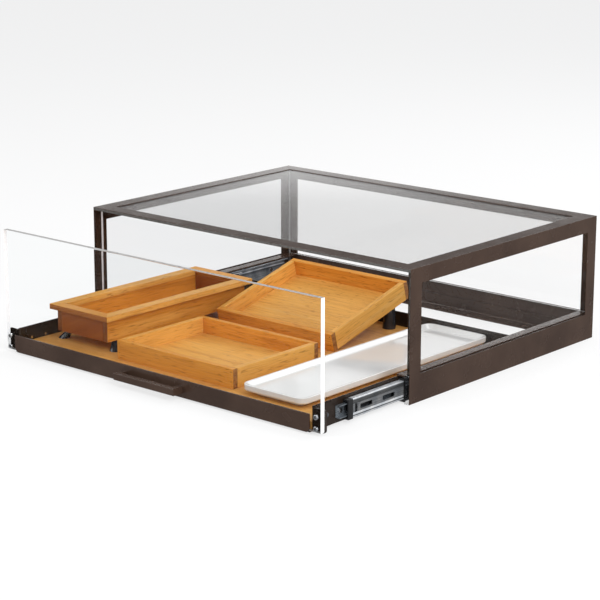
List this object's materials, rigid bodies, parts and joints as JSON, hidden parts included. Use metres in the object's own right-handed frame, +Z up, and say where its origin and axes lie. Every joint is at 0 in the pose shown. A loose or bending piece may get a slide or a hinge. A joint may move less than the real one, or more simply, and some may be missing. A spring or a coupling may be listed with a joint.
{
  "type": "countertop display bin",
  "caption": "Countertop bread display bin: a clear bronze-edged case with a wood-floored pull-out drawer on telescopic slides, carrying wooden trays and a platter.",
  "frame": {"origin": "centre of the bottom of the overall box at rest, at counter level, with the drawer 178 mm open", "axes": "+X to the customer's right, +Y from front to back, +Z up"},
  "size_m": [0.65, 0.69, 0.2],
  "materials": {
    "bronze_coat": "fine-textured dark bronze powder coat",
    "clear_acrylic": "clear cast acrylic with polished edges",
    "zinc_steel": "rolled steel with bright zinc plating",
    "ball_steel": "polished ball steel",
    "screw_steel": "nickel-plated steel",
    "black_plastic": "moulded black plastic",
    "black_rubber": "satin black rubber",
    "board_wood": "oiled honey-coloured board",
    "tray_wood": "oiled honey-coloured hardwood with fine straight grain",
    "white_glaze": "white gloss glaze"
  },
  "bodies": {
    "case": {"side_frame_left": "bronze_coat", "side_frame_right": "bronze_coat", "top_frame": "bronze_coat", "rear_frame": "bronze_coat", "side_ledge_left": "bronze_coat", "side_ledge_right": "bronze_coat", "rear_base_angle": "bronze_coat", "side_pane_left": "clear_acrylic", "side_pane_right": "clear_acrylic", "top_pane": "clear_acrylic", "rear_pane": "clear_acrylic", "slide_stop_left": "black_plastic", "slide_stop_right": "black_plastic", "cabinet_member_left": "zinc_steel", "cabinet_member_right": "zinc_steel", "cabinet_screws_left": "screw_steel", "cabinet_screws_right": "screw_steel"},
    "drawer": {"drawer_pan": "bronze_coat", "drawer_board": "board_wood", "front_rail": "bronze_coat", "front_panel": "clear_acrylic", "panel_bracket_left": "bronze_coat", "panel_bracket_right": "bronze_coat", "bracket_rivets_left": "screw_steel", "bracket_rivets_right": "screw_steel", "panel_screws": "screw_steel", "panel_nuts": "screw_steel", "closing_bumpers": "black_rubber", "pull_handle": "bronze_coat", "handle_screws": "screw_steel", "drawer_member_left": "zinc_steel", "drawer_member_right": "zinc_steel", "drawer_member_screws_left": "screw_steel", "drawer_member_screws_right": "screw_steel", "release_lever_left": "black_plastic", "release_lever_right": "black_plastic"},
    "middle_slide_left": {"middle_member_left": "zinc_steel", "slide_buffer_left": "black_plastic"},
    "outer_balls_left": {"outer_ball_cage_left": "zinc_steel", "outer_balls_left": "ball_steel"},
    "inner_balls_left": {"inner_ball_cage_left": "zinc_steel", "inner_balls_left": "ball_steel"},
    "middle_slide_right": {"middle_member_right": "zinc_steel", "slide_buffer_right": "black_plastic"},
    "outer_balls_right": {"outer_ball_cage_right": "zinc_steel", "outer_balls_right": "ball_steel"},
    "inner_balls_right": {"inner_ball_cage_right": "zinc_steel", "inner_balls_right": "ball_steel"},
    "front_tray": {"front_tray_walls": "tray_wood", "front_tray_floor": "tray_wood"},
    "rear_tray": {"rear_tray_walls": "tray_wood", "rear_tray_floor": "tray_wood", "rear_tray_feet": "black_rubber"},
    "display_box": {"display_box_body": "tray_wood", "display_box_floor": "tray_wood", "display_box_rim": "tray_wood", "display_box_feet": "black_rubber"},
    "platter": {"serving_platter": "white_glaze"}
  },
  "joints": [
    {"name": "drawer_slide", "type": "slide", "parent": "case", "child": "drawer", "axis": [0, -1, 0], "range_m": [-0.1784, 0.2636]},
    {"name": "middle_slide_left_travel", "type": "slide", "parent": "case", "child": "middle_slide_left", "axis": [0, -1, 0], "range_m": [-0.12312, 0.18182]},
    {"name": "outer_balls_left_travel", "type": "slide", "parent": "case", "child": "outer_balls_left", "axis": [0, -1, 0], "range_m": [-0.06166, 0.09101]},
    {"name": "inner_balls_left_travel", "type": "slide", "parent": "case", "child": "inner_balls_left", "axis": [0, -1, 0], "range_m": [-0.15086, 0.22281]},
    {"name": "middle_slide_right_travel", "type": "slide", "parent": "case", "child": "middle_slide_right", "axis": [0, -1, 0], "range_m": [-0.12312, 0.18182]},
    {"name": "outer_balls_right_travel", "type": "slide", "parent": "case", "child": "outer_balls_right", "axis": [0, -1, 0], "range_m": [-0.06166, 0.09101]},
    {"name": "inner_balls_right_travel", "type": "slide", "parent": "case", "child": "inner_balls_right", "axis": [0, -1, 0], "range_m": [-0.15086, 0.22281]},
    {"name": "front_tray_lift", "type": "slide", "parent": "drawer", "child": "front_tray", "axis": [0, 0, 1], "range_m": [0, 0.09]},
    {"name": "rear_tray_lift", "type": "slide", "parent": "drawer", "child": "rear_tray", "axis": [0, 0, 1], "range_m": [0, 0.09]},
    {"name": "display_box_lift", "type": "slide", "parent": "drawer", "child": "display_box", "axis": [0, 0, 1], "range_m": [0, 0.09]},
    {"name": "platter_lift", "type": "slide", "parent": "drawer", "child": "platter", "axis": [0, 0, 1], "range_m": [0, 0.09]}
  ],
  "couplings": [
    {"joint": "middle_slide_left_travel", "follows": "drawer_slide", "ratio": 0.689},
    {"joint": "outer_balls_left_travel", "follows": "drawer_slide", "ratio": 0.3445},
    {"joint": "inner_balls_left_travel", "follows": "drawer_slide", "ratio": 0.8445},
    {"joint": "middle_slide_right_travel", "follows": "drawer_slide", "ratio": 0.689},
    {"joint": "outer_balls_right_travel", "follows": "drawer_slide", "ratio": 0.3445},
    {"joint": "inner_balls_right_travel", "follows": "drawer_slide", "ratio": 0.8445}
  ]
}
